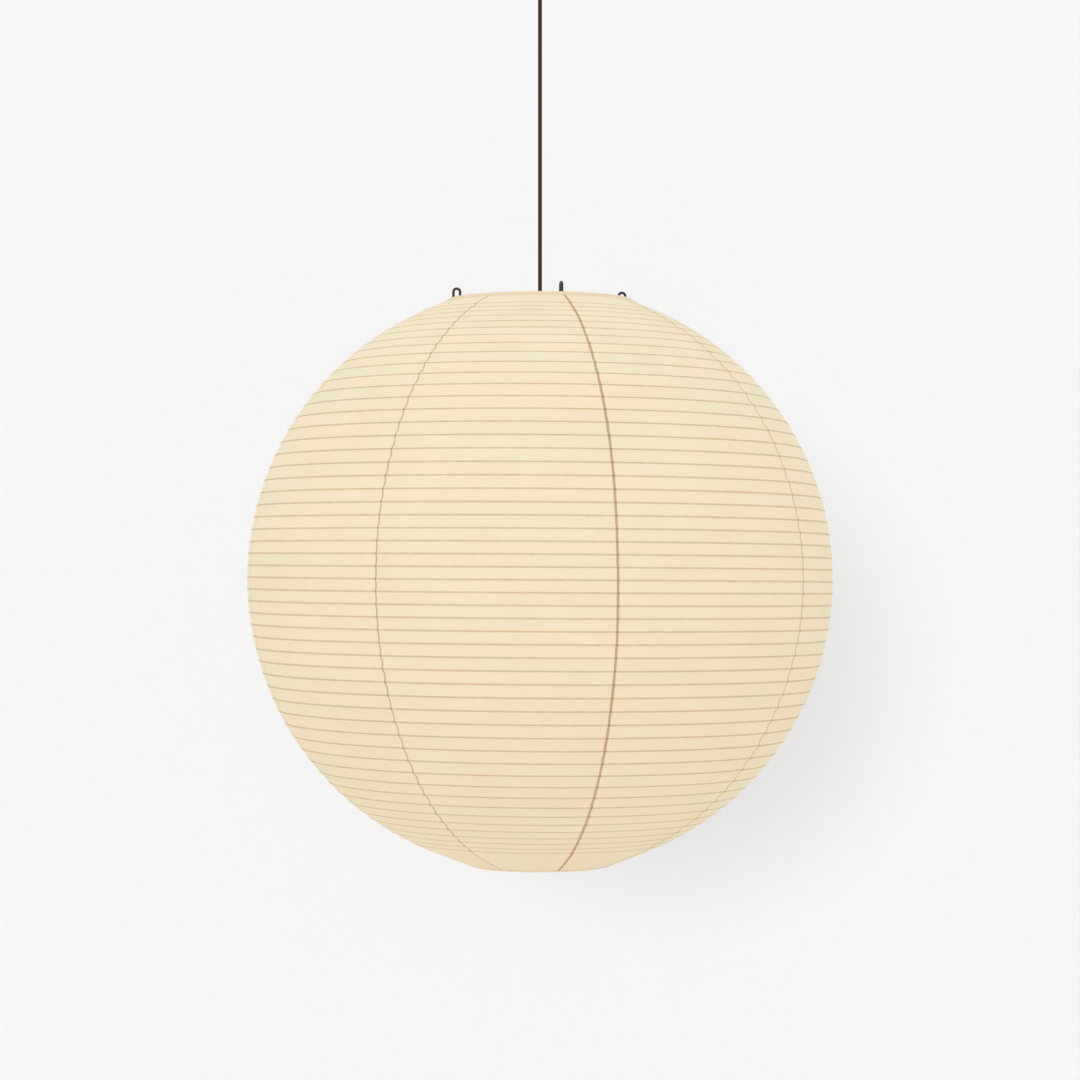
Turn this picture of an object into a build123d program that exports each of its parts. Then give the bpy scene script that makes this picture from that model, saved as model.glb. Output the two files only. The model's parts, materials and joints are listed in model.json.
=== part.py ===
from build123d import *
import math
import os

# Globe-shaped paper pendant lantern: a washi shade on one bamboo strip, held open by two crossed
# wire frames on an E27 lampholder, and hung by its cord from a ceiling canopy.
# Millimetres, +Z up. The origin is the middle of the ceiling plate's top face. The frames' arms
# and every second paper seam lie on X and Y. Parts of the lantern are drawn about the globe's
# centre, and save_hung() lowers them to where they hang.

os.makedirs("parts", exist_ok=True)

# Driving dimensions: the shade
GLOBE_DIAMETER = 750.0
GLOBE_R = GLOBE_DIAMETER / 2
GLOBE_DROP = 815.0  # from the ceiling to the globe's centre
PAPER = 0.6  # modelled sheet thickness, with its paste
GORE_COUNT = 8
TOP_MOUTH_R = 118.9
TOP_EDGE_Z = 358.5
BOTTOM_MOUTH_R = 88.3
BOTTOM_EDGE_Z = -367.5
TOP_COLLAR = 1.2  # height of the upright paper at the top mouth's edge
TOP_FLARE_R = 128.0  # where the paper leaves the sphere and rises more steeply to the top mouth
HEM = 0.3  # thickness of the hem paper
HEM_TUCK = 8.5  # how far the lower hem turns up inside, to the hoop
TOP_ROUND_END = 67.0  # latitudes between which the shade is a true sphere
BOTTOM_ROUND_END = -66.8

# Bamboo strip
RIB_DEPTH = 1.1  # radial
RIB_WIDTH = 1.3
RIB_GAP = 0.15  # between the strip's corners and the paper
RIB_FIRST_LATITUDE = 66.7
RIB_START_AZIMUTH = 76.0

# Hoops of the two mouths
TOP_HOOP_WIRE_R = 1.0
BOTTOM_HOOP_WIRE_R = 1.6
TOP_HOOP_Z = 356.5
BOTTOM_HOOP_Z = -361.1
HOOP_GAP = 0.1  # between a hoop and its paper

# Wire frames
WIRE_R = 1.7
FIT = 0.3  # clearance between parts that move on each other
HUB_HOLE_R = 20.3
HUB_R = 30.0
HUB_THICK = 2.0
ARM_START_R = 24.0
LOOP_INNER_R = 105.4
LOOP_OUTER_R = 114.1
LOOP_TOP_Z = 373.0
LEG_R = 82.0
WELD_LENGTH = 15.0

# Lampholder, about its own axis, heights from the globe's centre
SHOULDER_Z = 338.0
CAP_R = 23.0
CAP_TOP_Z = 357.0
GRIP_TOP_Z = 366.0
SKIRT_R = 19.9
SKIRT_WALL = 2.1
SKIRT_BOTTOM_Z = 296.0
SKIRT_TOP_Z = 345.0
INSERT_TOP_Z = 337.0
INSERT_BOTTOM_Z = 322.0
SHELL_R = 13.9
SHELL_WALL = 0.5
SHADE_RING_HEIGHT = 11.0
SHADE_RING_GROOVES = 30

# Bulb
GLASS_R = 47.5
GLASS_WALL = 0.9
GLASS_CENTRE_Z = 238.0
BULB_CAP_R = 13.15
BULB_CAP_TOP_Z = 317.0
BULB_CAP_BOTTOM_Z = 298.0
BULB_NECK_R = 15.0

# Cord and canopy, heights from the ceiling
CORD_R = 2.575
CORD_BORE_R = 2.85
GLAND_BOTTOM_Z = -55.0
GLAND_R = 6.5
CANOPY_R = 50.0
CANOPY_DEPTH = 36.0
CANOPY_WALL = 1.2
PLATE_R = 42.0
PLATE_THICK = 2.0
SCREW_SPACING = 60.0
SLOT_LENGTH = 12.0
SLOT_WIDTH = 5.0


def save(name, *solids):
    shape = solids[0] if len(solids) == 1 else Compound(children=list(solids))
    shape.label = name
    export_step(shape, f"parts/{name}.step")


def save_hung(name, *solids):
    save(name, *[Pos(0, 0, -GLOBE_DROP) * solid for solid in solids])


def turned(*outline):
    """A solid of revolution about Z from a closed outline of (radius, height) points."""
    section = make_face(Polyline(*outline, close=True).edges())
    return revolve(Plane.XZ * section, Axis.Z).solid()


def tube(outer, inner, low, high):
    return turned((inner, low), (outer, low), (outer, high), (inner, high))


def rod(radius, low, high):
    return turned((0, low), (radius, low), (radius, high), (0, high))


def ring_of_wire(radius, wire_r, height):
    return Pos(0, 0, height) * Torus(radius, wire_r).solid()


def bent_wire(points, bends, wire_r=WIRE_R):
    """A round wire along the (radius, height) points in the XZ plane, bent at each inner one."""
    path = FilletPolyline(*[(r, 0, z) for r, z in points], radius=bends)
    section = Plane(origin=path @ 0, z_dir=path % 0) * Circle(wire_r)
    return sweep(section, path=path).solid()


def sphere_point(radius, latitude):
    angle = math.radians(latitude)
    return (radius * math.cos(angle), radius * math.sin(angle))


# ---------------------------------------------------------------- shade
def mouth_lines(inset):
    """The shade's section beyond its round part: up to the top mouth, and from the bottom one."""
    flare_r = TOP_FLARE_R - inset
    top = [
        sphere_point(GLOBE_R - inset, TOP_ROUND_END),
        (flare_r, math.sqrt((GLOBE_R - inset) ** 2 - flare_r**2)),
        (TOP_MOUTH_R - inset, TOP_EDGE_Z - TOP_COLLAR - inset / 2),
        (TOP_MOUTH_R - inset, TOP_EDGE_Z),
    ]
    bottom = [
        (BOTTOM_MOUTH_R - inset, BOTTOM_EDGE_Z),
        sphere_point(GLOBE_R - inset, BOTTOM_ROUND_END),
    ]
    return top, bottom


def paper_gore(first_azimuth):
    edges = []
    skins = []
    for inset in (0, PAPER):
        top, bottom = mouth_lines(inset)
        arc = ThreePointArc(bottom[-1], (GLOBE_R - inset, 0), top[0])
        edges += [*Polyline(*bottom).edges(), arc, *Polyline(*top).edges()]
        skins.append((bottom[0], top[-1]))
    for outer, inner in zip(*skins):
        edges.append(Line(outer, inner))
    section = Plane.XZ * make_face(edges)
    gore = revolve(section, Axis.Z, 360 / GORE_COUNT).solid()
    return Rot(0, 0, first_azimuth) * gore


def rib_pitch(latitude):
    """Degrees of latitude from one turn of the strip to the next: widest near 45 degrees."""
    angle = math.radians(latitude)
    return 2.26 - 0.54 * math.cos(4 * angle) + 0.55 * math.cos(2 * angle)


def bamboo_strip():
    """One strip wound down the shade, left-handed: half turns that meet in line."""
    radius = GLOBE_R - PAPER - RIB_GAP - math.hypot(RIB_DEPTH, RIB_WIDTH) / 2
    start = math.radians(RIB_START_AZIMUTH)
    toward = Vector(math.cos(start), math.sin(start), 0)
    across = Vector(-math.sin(start), math.cos(start), 0)
    arcs = []
    latitude = RIB_FIRST_LATITUDE
    side = 1
    while latitude > BOTTOM_ROUND_END + rib_pitch(latitude):
        r, z = sphere_point(radius, latitude)
        here = toward * (side * r) + Vector(0, 0, z)
        latitude -= rib_pitch(latitude - rib_pitch(latitude) / 4) / 2
        r, z = sphere_point(radius, latitude)
        there = toward * (-side * r) + Vector(0, 0, z)
        middle = (here + there) * 0.5
        bulge = across * (side * (there - here).length / 2)
        arcs.append(ThreePointArc(here, middle + bulge, there))
        side = -side
    path = Wire(arcs)
    section = Plane(origin=path @ 0, x_dir=toward, z_dir=path % 0) * Rectangle(RIB_DEPTH, RIB_WIDTH)
    return sweep(section, path=path).solid()


def shade():
    for index in range(GORE_COUNT):
        save_hung(f"paper_gore_{index + 1}", paper_gore(index * 360 / GORE_COUNT))
    save_hung("bamboo_rib", bamboo_strip())

    hoop_r = TOP_MOUTH_R - PAPER - HOOP_GAP - TOP_HOOP_WIRE_R
    save_hung("top_hoop", ring_of_wire(hoop_r, TOP_HOOP_WIRE_R, TOP_HOOP_Z))
    hem_r = TOP_MOUTH_R + HEM
    fold_z = TOP_EDGE_Z + HEM
    save_hung(
        "top_hem",
        turned(
            (TOP_MOUTH_R, TOP_EDGE_Z - TOP_COLLAR),
            (hem_r, TOP_EDGE_Z - TOP_COLLAR),
            (hem_r, fold_z),
            (hoop_r - TOP_HOOP_WIRE_R, fold_z),
            (hoop_r - TOP_HOOP_WIRE_R, TOP_EDGE_Z),
            (TOP_MOUTH_R, TOP_EDGE_Z),
        ),
    )

    # The lower hem folds under the paper's edge and turns up inside it, round the hoop
    tuck_r = BOTTOM_MOUTH_R - PAPER - HOOP_GAP
    hoop_r = tuck_r - HEM - HOOP_GAP - BOTTOM_HOOP_WIRE_R
    save_hung("bottom_hoop", ring_of_wire(hoop_r, BOTTOM_HOOP_WIRE_R, BOTTOM_HOOP_Z))
    save_hung(
        "bottom_hem",
        turned(
            (tuck_r, BOTTOM_EDGE_Z),
            (BOTTOM_MOUTH_R, BOTTOM_EDGE_Z),
            (BOTTOM_MOUTH_R, BOTTOM_EDGE_Z - HEM),
            (tuck_r - HEM, BOTTOM_EDGE_Z - HEM),
            (tuck_r - HEM, BOTTOM_EDGE_Z + HEM_TUCK),
            (tuck_r, BOTTOM_EDGE_Z + HEM_TUCK),
        ),
    )


# ---------------------------------------------------------------- wire frames
def top_arm(arm_z):
    """Arm from the hub to the top hoop, over in an n-shaped loop and out under the hoop."""
    loop_z = LOOP_TOP_Z - WIRE_R
    shelf_z = TOP_HOOP_Z - TOP_HOOP_WIRE_R - FIT - WIRE_R
    points = [
        (ARM_START_R, arm_z),
        (LOOP_INNER_R, arm_z),
        (LOOP_INNER_R, loop_z),
        (LOOP_OUTER_R, loop_z),
        (LOOP_OUTER_R, shelf_z),
        (LOOP_OUTER_R + 5, shelf_z),
    ]
    loop_bend = (LOOP_OUTER_R - LOOP_INNER_R) / 2 - 0.05
    return bent_wire(points, [5, loop_bend, loop_bend, 3])


def leg_wire(arm_z):
    """Leg welded under its arm, straight down, and out under the bottom hoop in a short foot."""
    weld_z = arm_z - 2 * WIRE_R
    foot_z = BOTTOM_HOOP_Z - BOTTOM_HOOP_WIRE_R - FIT - WIRE_R
    points = [
        (LEG_R - WELD_LENGTH, weld_z),
        (LEG_R, weld_z),
        (LEG_R, foot_z),
        (LEG_R + 4.4, foot_z),
    ]
    return bent_wire(points, [6, 2.5])


def wire_frames():
    ring_a_z = SHOULDER_Z - HUB_THICK
    ring_b_z = ring_a_z - FIT - HUB_THICK
    save_hung("hub_ring_a", tube(HUB_R, HUB_HOLE_R, ring_a_z, SHOULDER_Z))
    save_hung("hub_ring_b", tube(HUB_R, HUB_HOLE_R, ring_b_z, ring_b_z + HUB_THICK))
    arm_a_z = SHOULDER_Z + WIRE_R
    arm_b_z = ring_b_z - WIRE_R
    places = [
        ("right", 0, arm_b_z),
        ("back", 90, arm_a_z),
        ("left", 180, arm_b_z),
        ("front", 270, arm_a_z),
    ]
    for side, azimuth, arm_z in places:
        save_hung(f"top_arm_{side}", Rot(0, 0, azimuth) * top_arm(arm_z))
        save_hung(f"leg_wire_{side}", Rot(0, 0, azimuth) * leg_wire(arm_z))

    ring_top = ring_b_z - FIT
    ring_low = ring_top - SHADE_RING_HEIGHT
    ring = tube(CAP_R, HUB_HOLE_R, ring_low, ring_top)
    ring = chamfer(ring.edges().group_by(Axis.Z)[0], 0.6)
    groove = Pos(CAP_R, 0, (ring_low + ring_top) / 2) * Cylinder(0.7, SHADE_RING_HEIGHT + 2)
    for index in range(SHADE_RING_GROOVES):
        ring -= Rot(0, 0, index * 360 / SHADE_RING_GROOVES) * groove
    save_hung("shade_ring", ring.solid())


# ---------------------------------------------------------------- lampholder
def lampholder():
    cap = turned(
        (SKIRT_R + 0.2, SHOULDER_Z),
        (CAP_R, SHOULDER_Z),
        (CAP_R, SHOULDER_Z + 9),
        (CAP_R - 3, SHOULDER_Z + 14),
        (13, CAP_TOP_Z - 1),
        (9, CAP_TOP_Z),
        (6, CAP_TOP_Z),
        (6, CAP_TOP_Z - 2),
        (12, CAP_TOP_Z - 3.5),
        (SKIRT_R - 1.5, SHOULDER_Z + 12),
        (SKIRT_R + 0.2, SHOULDER_Z + 8),
    )
    rims = cap.edges().filter_by(GeomType.CIRCLE)
    outer = [e for e in rims if e.radius in (CAP_R, CAP_R - 3) and e.center().Z > SHOULDER_Z + 1]
    cap = fillet(outer, 2.0)
    save_hung("lampholder_cap", cap.solid())

    grip = turned(
        (CORD_BORE_R, CAP_TOP_Z - 4),
        (5.8, CAP_TOP_Z - 4),
        (5.8, CAP_TOP_Z + 0.2),
        (8, CAP_TOP_Z + 0.2),
        (8, CAP_TOP_Z + 4),
        (4.6, GRIP_TOP_Z),
        (CORD_BORE_R, GRIP_TOP_Z),
    )
    save_hung("cord_grip", grip)

    skirt = tube(SKIRT_R, SKIRT_R - SKIRT_WALL, SKIRT_BOTTOM_Z, SKIRT_TOP_Z)
    groove_count = int((INSERT_BOTTOM_Z - SKIRT_BOTTOM_Z) / 3)
    for index in range(groove_count):
        z = SKIRT_BOTTOM_Z + 3 + 3 * index
        skirt -= ring_of_wire(SKIRT_R + 0.35, 0.7, z)
    save_hung("lampholder_skirt", skirt.solid())

    insert = rod(SKIRT_R - SKIRT_WALL - 0.1, INSERT_BOTTOM_Z, INSERT_TOP_Z)
    screw_x = 9.0
    for side in (-1, 1):
        insert -= Pos(side * screw_x, 0, 0) * rod(2.0, INSERT_TOP_Z - 9, INSERT_TOP_Z + 1)
    insert -= rod(3.2, INSERT_BOTTOM_Z - 1, INSERT_BOTTOM_Z + 2)
    save_hung("socket_insert", insert.solid())

    shell = tube(SHELL_R + SHELL_WALL, SHELL_R, SKIRT_BOTTOM_Z + 3, INSERT_BOTTOM_Z)
    save_hung("thread_shell", shell)
    save_hung("centre_contact", rod(3.0, BULB_CAP_TOP_Z + 2.9, INSERT_BOTTOM_Z + 2))

    screws = []
    for side in (-1, 1):
        shank = Pos(side * screw_x, 0, 0) * rod(1.9, INSERT_TOP_Z - 8.5, INSERT_TOP_Z)
        head = Pos(side * screw_x, 0, 0) * rod(3.2, INSERT_TOP_Z, INSERT_TOP_Z + 2)
        slot = Pos(side * screw_x, 0, INSERT_TOP_Z + 2) * Box(7, 0.8, 1.4)
        screws.append((shank + head - slot).solid())
    save_hung("socket_screws", *screws)


# ---------------------------------------------------------------- bulb
def bulb():
    cap = turned(
        (BULB_CAP_R - 0.4, BULB_CAP_BOTTOM_Z),
        (BULB_CAP_R, BULB_CAP_BOTTOM_Z),
        (BULB_CAP_R, BULB_CAP_TOP_Z - 3),
        (7, BULB_CAP_TOP_Z),
        (6.6, BULB_CAP_TOP_Z - 0.3),
        (BULB_CAP_R - 0.4, BULB_CAP_TOP_Z - 3.2),
    )
    save_hung("bulb_cap", cap)
    save_hung("bulb_insulator", turned(
        (0, BULB_CAP_TOP_Z - 0.3),
        (6.6, BULB_CAP_TOP_Z - 0.3),
        (6.6, BULB_CAP_TOP_Z),
        (4.8, BULB_CAP_TOP_Z + 1.6),
        (0, BULB_CAP_TOP_Z + 1.6),
    ))
    save_hung("bulb_contact", rod(4.4, BULB_CAP_TOP_Z + 1.6, BULB_CAP_TOP_Z + 2.6))

    # The opal envelope: most of a sphere, open at its neck
    neck_lift = math.sqrt(GLASS_R**2 - BULB_NECK_R**2)
    envelope = Sphere(GLASS_R) - Sphere(GLASS_R - GLASS_WALL)
    envelope -= Pos(0, 0, neck_lift + GLASS_R / 2) * Box(2 * GLASS_R, 2 * GLASS_R, GLASS_R)
    save_hung("bulb_glass", Pos(0, 0, GLASS_CENTRE_Z) * envelope.solid())

    neck_z = GLASS_CENTRE_Z + neck_lift
    collar = turned(
        (BULB_NECK_R - 2.2, neck_z),
        (BULB_NECK_R + 0.6, neck_z),
        (BULB_NECK_R + 0.6, neck_z + 2),
        (BULB_CAP_R, BULB_CAP_BOTTOM_Z),
        (BULB_CAP_R - 0.6, BULB_CAP_BOTTOM_Z),
        (BULB_NECK_R - 2.2, neck_z + 2),
    )
    save_hung("bulb_collar", collar)

    board_z = neck_z - 1
    stem = rod(8.0, board_z - 18, board_z)
    board = rod(11.5, board_z - 19.6, board_z - 18)
    chips = [
        Rot(0, 0, index * 60) * Pos(8, 0, board_z - 20) * Box(2.8, 2.8, 0.8)
        for index in range(6)
    ]
    for chip in chips:
        board += chip
    spider = turned(
        (8, board_z - 0.8),
        (BULB_NECK_R - 2.4, board_z - 0.8),
        (BULB_NECK_R - 2.4, board_z),
        (8, board_z),
    )
    save_hung("led_board", (stem + board + spider).solid())


# ---------------------------------------------------------------- cord
def cord():
    low = GRIP_TOP_Z - GLOBE_DROP - 10
    run = rod(CORD_R, low, GLAND_BOTTOM_Z)
    tip = Pos(0, 0, GLAND_BOTTOM_Z) * Sphere(CORD_R)
    save("cord", (run + tip).solid())
    print("cord: one straight run of", round(GLAND_BOTTOM_Z - low, 1), "mm, no bends")


# ---------------------------------------------------------------- ceiling parts
def canopy():
    plate = rod(PLATE_R, -PLATE_THICK, 0)
    for side in (-1, 1):
        slot = SlotOverall(SLOT_LENGTH, SLOT_WIDTH)
        plate -= Pos(side * SCREW_SPACING / 2, 0, -PLATE_THICK) * extrude(slot, PLATE_THICK)
        ear = Pos(0, side * (PLATE_R - 0.75), -PLATE_THICK - 6) * Box(14, 1.5, 12)
        ear -= Pos(0, side * PLATE_R, -PLATE_THICK - 8) * Rot(90, 0, 0) * Cylinder(1.6, 10)
        plate += ear
    wire_hole = Pos(0, 26, -PLATE_THICK) * extrude(Circle(6), PLATE_THICK)
    save("ceiling_plate", (plate - wire_hole).solid())

    inner = CANOPY_R - CANOPY_WALL
    cup = rod(CANOPY_R, -CANOPY_DEPTH, 0)
    cup = fillet(cup.edges().group_by(Axis.Z)[0], 8)
    hollow = rod(inner, CANOPY_WALL - CANOPY_DEPTH, 1)
    cup -= fillet(hollow.edges().group_by(Axis.Z)[0], 8 - CANOPY_WALL)
    cup -= rod(5.1, -CANOPY_DEPTH - 1, 0)
    screw_z = -PLATE_THICK - 8
    for side in (-1, 1):
        cup -= Pos(0, side * inner, screw_z) * Rot(90, 0, 0) * Cylinder(1.8, 6)
    save("canopy_cup", cup.solid())

    screws = []
    for side in (-1, 1):
        reach = CANOPY_R - PLATE_R + 2
        shank = Pos(0, side * (CANOPY_R - reach / 2), screw_z) * Rot(90, 0, 0) * Cylinder(1.5, reach)
        head = Pos(0, side * (CANOPY_R + 1.2), screw_z) * Rot(90, 0, 0) * Cylinder(3.5, 2.4)
        head = chamfer(head.edges().group_by(Axis.Y)[-1 if side > 0 else 0], 0.8)
        slot = Pos(0, side * (CANOPY_R + 2.4), screw_z) * Box(8, 1.6, 0.8)
        screws.append((shank + head - slot).solid())
    save("canopy_screws", *screws)

    gland_top = -CANOPY_DEPTH + 10
    gland = turned(
        (CORD_BORE_R, GLAND_BOTTOM_Z),
        (GLAND_R - 1.5, GLAND_BOTTOM_Z),
        (GLAND_R, GLAND_BOTTOM_Z + 2),
        (GLAND_R, -CANOPY_DEPTH),
        (5.0, -CANOPY_DEPTH),
        (5.0, gland_top),
        (CORD_BORE_R, gland_top),
    )
    grub_z = GLAND_BOTTOM_Z + 9
    grub_hole = Pos(0, -GLAND_R, grub_z) * Rot(90, 0, 0) * Cylinder(1.5, 2 * (GLAND_R - CORD_BORE_R))
    save("cord_gland", (gland - grub_hole).solid())
    grub = Pos(0, -(GLAND_R + CORD_R) / 2, grub_z) * Rot(90, 0, 0) * Cylinder(1.45, GLAND_R - CORD_R - 0.8)
    socket = Pos(0, -GLAND_R, grub_z) * Rot(90, 0, 0) * extrude(RegularPolygon(0.8, 6), 2, both=True)
    save("grub_screw", (grub - socket).solid())

    nut = extrude(RegularPolygon(8, 6), 4) - extrude(Circle(5.1), 4)
    save("gland_nut", (Pos(0, 0, CANOPY_WALL - CANOPY_DEPTH) * nut).solid())

    tail_top = -22.0
    save("cord_tail", rod(CORD_R, GLAND_BOTTOM_Z + CORD_R + FIT, tail_top))
    block_y = -20.0
    block_low = -15.0
    block = Pos(0, block_y, (block_low - PLATE_THICK) / 2) * Box(24, 14, -PLATE_THICK - block_low)
    block = fillet(block.edges().filter_by(Axis.Z), 1.5)
    cores = []
    terminals = []
    for side in (-1, 1):
        x = side * 6.0
        hole = Pos(x, block_y, block_low) * Cylinder(1.3, 12)
        screw_at = Pos(x, block_y - 7, (block_low - PLATE_THICK) / 2) * Rot(90, 0, 0)
        block -= hole
        block -= screw_at * Cylinder(1.8, 8)
        terminals.append((screw_at * Cylinder(1.7, 6)).solid())
        path = FilletPolyline(
            (side * 1.2, 0, tail_top),
            (side * 1.2, 0, tail_top + 4),
            (x, block_y, tail_top + 2),
            (x, block_y, block_low + 4),
            radius=[1.5, 1.9],
        )
        section = Plane(origin=path @ 0, z_dir=path % 0) * Circle(0.9)
        cores.append(sweep(section, path=path).solid())
    save("terminal_block", block.solid())
    save("terminal_screws", *terminals)
    save("core_wires", *cores)


shade()
wire_frames()
lampholder()
bulb()
cord()
canopy()
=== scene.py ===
# Paper pendant lantern: washi gores over one spiral bamboo strip, hung by its cord.
# Metres, +Z up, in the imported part's own frame: the origin is in the ceiling plane.
import json
import math

import bpy
import numpy as np
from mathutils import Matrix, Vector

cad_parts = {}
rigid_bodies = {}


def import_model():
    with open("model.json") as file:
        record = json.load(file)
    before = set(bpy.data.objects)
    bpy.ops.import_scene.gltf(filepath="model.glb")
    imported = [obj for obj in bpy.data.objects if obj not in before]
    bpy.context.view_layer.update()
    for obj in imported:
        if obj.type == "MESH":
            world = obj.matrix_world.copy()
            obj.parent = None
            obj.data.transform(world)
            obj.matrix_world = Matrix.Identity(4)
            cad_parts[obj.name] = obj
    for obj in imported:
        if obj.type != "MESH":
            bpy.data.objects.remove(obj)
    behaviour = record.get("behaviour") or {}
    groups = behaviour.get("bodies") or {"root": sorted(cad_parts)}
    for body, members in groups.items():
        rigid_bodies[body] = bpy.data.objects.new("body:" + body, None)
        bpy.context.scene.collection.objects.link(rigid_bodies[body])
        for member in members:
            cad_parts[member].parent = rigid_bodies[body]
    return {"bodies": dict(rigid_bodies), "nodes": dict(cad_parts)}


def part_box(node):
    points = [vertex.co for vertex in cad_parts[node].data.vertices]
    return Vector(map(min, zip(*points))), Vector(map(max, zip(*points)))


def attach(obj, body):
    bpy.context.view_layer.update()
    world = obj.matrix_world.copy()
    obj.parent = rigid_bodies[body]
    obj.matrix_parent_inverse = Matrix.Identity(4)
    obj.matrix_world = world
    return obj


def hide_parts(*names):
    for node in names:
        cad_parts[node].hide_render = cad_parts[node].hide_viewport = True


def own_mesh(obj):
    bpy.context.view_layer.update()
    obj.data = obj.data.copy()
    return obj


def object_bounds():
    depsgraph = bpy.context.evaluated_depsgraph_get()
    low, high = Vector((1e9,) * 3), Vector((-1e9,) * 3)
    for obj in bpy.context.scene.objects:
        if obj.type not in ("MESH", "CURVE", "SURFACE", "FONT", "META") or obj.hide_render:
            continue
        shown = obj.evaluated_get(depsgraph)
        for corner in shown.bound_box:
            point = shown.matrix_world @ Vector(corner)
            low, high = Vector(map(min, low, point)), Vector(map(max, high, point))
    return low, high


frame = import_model()
cad_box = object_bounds()
nodes = frame["nodes"]
MM = 0.001

# ---------------------------------------------------------------- sizes read from the frame
GORE_COUNT = 8
gore_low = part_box("paper_gore_1")[0].z
gore_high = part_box("paper_gore_1")[1].z
top_hoop_low, top_hoop_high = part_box("top_hoop")
low_hoop_low, low_hoop_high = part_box("bottom_hoop")
globe_r = cad_box[1].x
TOP_EDGE = 358.5 * MM  # heights of the two mouths' edges above and below the globe's centre
centre_z = gore_high - TOP_EDGE
BOTTOM_EDGE = gore_low - centre_z
ROUND_THE_HOOP = 0.7 * MM  # how far outside its hoop the upper mouth's paper stands
TOP_MOUTH_R = top_hoop_high.x + ROUND_THE_HOOP
BOTTOM_MOUTH_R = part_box("bottom_hem")[1].x
TOP_COLLAR = 1.2 * MM  # the upright end of the paper at the upper mouth
ROUND_TOP = 67.0  # latitudes between which the strip holds the paper round
ROUND_BOTTOM = -66.8
FLARE_LATITUDE = 68.5  # where the paper leaves the globe for the upper mouth
FIRST_LATITUDE = 66.7  # where the strip starts
START_AZIMUTH = 76.0

# ---------------------------------------------------------------- camera
VIEW_AZIMUTH = -14.0  # degrees; a seam and a wire loop stand this far right of the middle
VIEW_DISTANCE = 3.6
VIEW_RISE = 6 * MM  # the camera's height above the globe's centre
VIEW_LIFT = 44 * MM  # how much higher it looks, at the globe's distance
LENS = 93.2
SENSOR_WIDTH = 36.0
CLIP_END = 40.0
camera_data = bpy.data.cameras.new("camera")
camera_data.lens = LENS
camera_data.sensor_width = SENSOR_WIDTH
camera_data.clip_end = CLIP_END
camera = bpy.data.objects.new("camera", camera_data)
bpy.context.scene.collection.objects.link(camera)
bpy.context.scene.camera = camera
turn = math.radians(VIEW_AZIMUTH)
camera.location = (
    math.sin(turn) * VIEW_DISTANCE,
    -math.cos(turn) * VIEW_DISTANCE,
    centre_z + VIEW_RISE,
)
tilt = math.atan2(VIEW_LIFT, VIEW_DISTANCE)
camera.rotation_euler = (math.radians(90) + tilt, 0, turn)


# ---------------------------------------------------------------- the strip's spiral
PITCH = 2.26
PITCH_SWELL = 0.54  # wider half way to a mouth
PITCH_TAPER = 0.55  # narrower towards the mouths
TABLE_STEP = 0.01  # turns
TABLE_MARGIN = 4  # degrees of latitude past the round part
END_MARGIN = 2  # degrees above the round part's end, where the last pitch is taken


def pitch(latitude):
    """Degrees of latitude from one turn of the strip to the next, widest near 45 degrees."""
    angle = np.radians(latitude)
    return PITCH - PITCH_SWELL * np.cos(4 * angle) + PITCH_TAPER * np.cos(2 * angle)


def spiral_table():
    """Turns of the strip against latitude, from above its start to past its end."""
    turns = [0.0]
    latitudes = [FIRST_LATITUDE]
    while latitudes[0] < ROUND_TOP + TABLE_MARGIN:
        latitudes.insert(0, latitudes[0] + TABLE_STEP * pitch(latitudes[0]))
        turns.insert(0, turns[0] - TABLE_STEP)
    while latitudes[-1] > ROUND_BOTTOM - TABLE_MARGIN:
        latitudes.append(latitudes[-1] - TABLE_STEP * pitch(latitudes[-1]))
        turns.append(turns[-1] + TABLE_STEP)
    return np.array(turns), np.array(latitudes)


TABLE_TURNS, TABLE_LATITUDES = spiral_table()


def latitude_at(turns):
    return np.interp(turns, TABLE_TURNS, TABLE_LATITUDES)


def turns_at(latitude):
    return float(np.interp(-latitude, -TABLE_LATITUDES, TABLE_TURNS))


# The strip ends at the first half turn that is less than a pitch above the round part's end
last_pitch = pitch(ROUND_BOTTOM + END_MARGIN)
STRIP_TURNS = math.ceil(2 * turns_at(ROUND_BOTTOM + last_pitch)) / 2


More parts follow.
